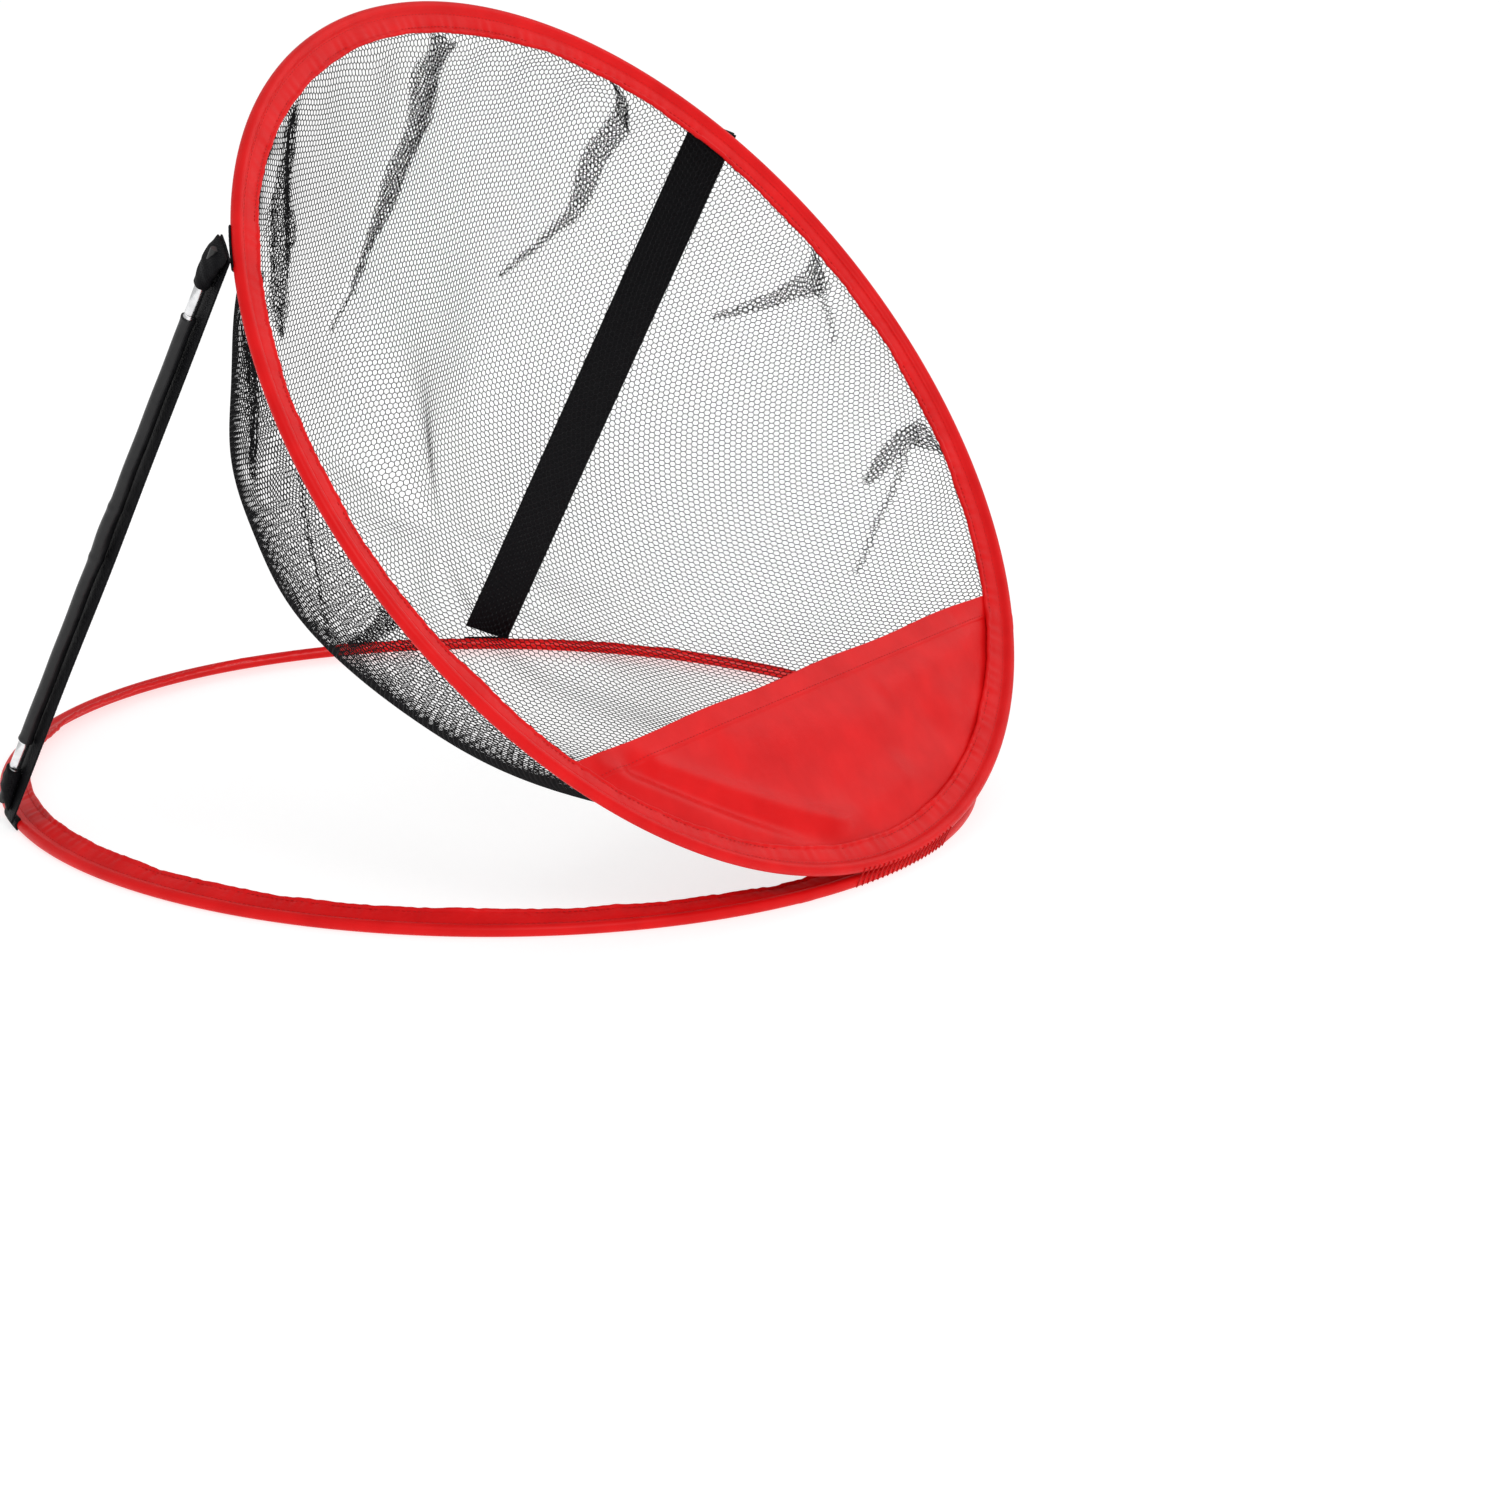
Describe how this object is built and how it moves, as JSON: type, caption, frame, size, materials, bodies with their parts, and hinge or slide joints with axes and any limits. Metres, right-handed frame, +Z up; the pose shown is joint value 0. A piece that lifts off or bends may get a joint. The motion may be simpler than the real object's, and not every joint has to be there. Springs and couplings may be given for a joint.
{
  "type": "golf chipping net",
  "caption": "Pop-up golf chipping target: a tilted sprung hoop with a mesh pocket and a low cloth panel, hinged to a ground hoop and held open by folding side struts.",
  "frame": {"origin": "centre of the base hoop, on the ground", "axes": "+Z up, -Y the way the mouth faces, +X to the right of someone who looks into the mouth"},
  "size_m": [0.5, 0.5033, 0.3919],
  "materials": {
    "red_nylon": "satin woven nylon",
    "red_thread": "sewing thread",
    "black_mesh": "knitted hexagonal polyester mesh",
    "black_webbing": "woven polypropylene webbing",
    "black_cloth": "plain woven cloth",
    "shock_cord": "braided elastic cord",
    "spring_steel": "bright spring wire",
    "crimp_steel": "plain",
    "ferrule_metal": "bright drawn tube",
    "rod_black": "black fibreglass tube",
    "black_plastic": "moulded"
  },
  "bodies": {
    "base": {"base_hoop_wire": "spring_steel", "base_hoop_crimp": "crimp_steel", "base_hoop_sleeve": "red_nylon", "front_seam_stitches": "red_thread", "left_foot_tab": "black_webbing", "right_foot_tab": "black_webbing"},
    "hoop": {"top_hoop_wire": "spring_steel", "top_hoop_crimp": "crimp_steel", "top_hoop_sleeve": "red_nylon", "front_panel": "red_nylon", "net_pocket": "black_mesh", "left_head_tab": "black_webbing", "right_head_tab": "black_webbing"},
    "left_strut_lower": {"left_side_strap": "black_webbing", "left_foot_pocket": "black_webbing", "left_foot_tip": "black_plastic", "left_foot_ferrule": "ferrule_metal", "left_lower_rod": "rod_black", "left_mid_ferrule": "ferrule_metal", "left_shock_cord": "shock_cord", "left_pole_sleeve": "black_cloth"},
    "left_strut_upper": {"left_head_pocket": "black_webbing", "left_head_tip": "black_plastic", "left_head_ferrule": "ferrule_metal", "left_upper_rod": "rod_black"},
    "right_strut_lower": {"right_side_strap": "black_webbing", "right_foot_pocket": "black_webbing", "right_foot_tip": "black_plastic", "right_foot_ferrule": "ferrule_metal", "right_lower_rod": "rod_black", "right_mid_ferrule": "ferrule_metal", "right_shock_cord": "shock_cord", "right_pole_sleeve": "black_cloth"},
    "right_strut_upper": {"right_head_pocket": "black_webbing", "right_head_tip": "black_plastic", "right_head_ferrule": "ferrule_metal", "right_upper_rod": "rod_black"}
  },
  "joints": [
    {"name": "hoop_fold", "type": "hinge", "parent": "base", "child": "hoop", "pos_m": [0, -0.2469, 0.0066], "axis": [-1, 0, 0], "range_deg": [0, 46], "deforming": ["net_pocket", "front_seam_stitches"]},
    {"name": "left_foot_fold", "type": "hinge", "parent": "base", "child": "left_strut_lower", "pos_m": [-0.20185, 0.14936, 0.008], "axis": [-0.6259, -0.6984, -0.3472], "range_deg": [0, 101]},
    {"name": "left_mid_fold", "type": "hinge", "parent": "left_strut_lower", "child": "left_strut_upper", "pos_m": [-0.20304, 0.07506, 0.1596], "axis": [0.6259, 0.6984, 0.3472], "range_deg": [0, 170], "deforming": ["left_side_strap", "left_pole_sleeve", "left_shock_cord"]},
    {"name": "right_foot_fold", "type": "hinge", "parent": "base", "child": "right_strut_lower", "pos_m": [0.20185, 0.14936, 0.008], "axis": [-0.6259, 0.6984, 0.3472], "range_deg": [0, 101]},
    {"name": "right_mid_fold", "type": "hinge", "parent": "right_strut_lower", "child": "right_strut_upper", "pos_m": [0.20304, 0.07506, 0.1596], "axis": [0.6259, -0.6984, -0.3472], "range_deg": [0, 170], "deforming": ["right_side_strap", "right_pole_sleeve", "right_shock_cord"]}
  ],
  "couplings": [
    {"joint": "left_foot_fold", "follows": "hoop_fold", "ratio": 2.1956},
    {"joint": "left_mid_fold", "follows": "hoop_fold", "ratio": 3.6956},
    {"joint": "right_foot_fold", "follows": "hoop_fold", "ratio": 2.1956},
    {"joint": "right_mid_fold", "follows": "hoop_fold", "ratio": 3.6956}
  ]
}
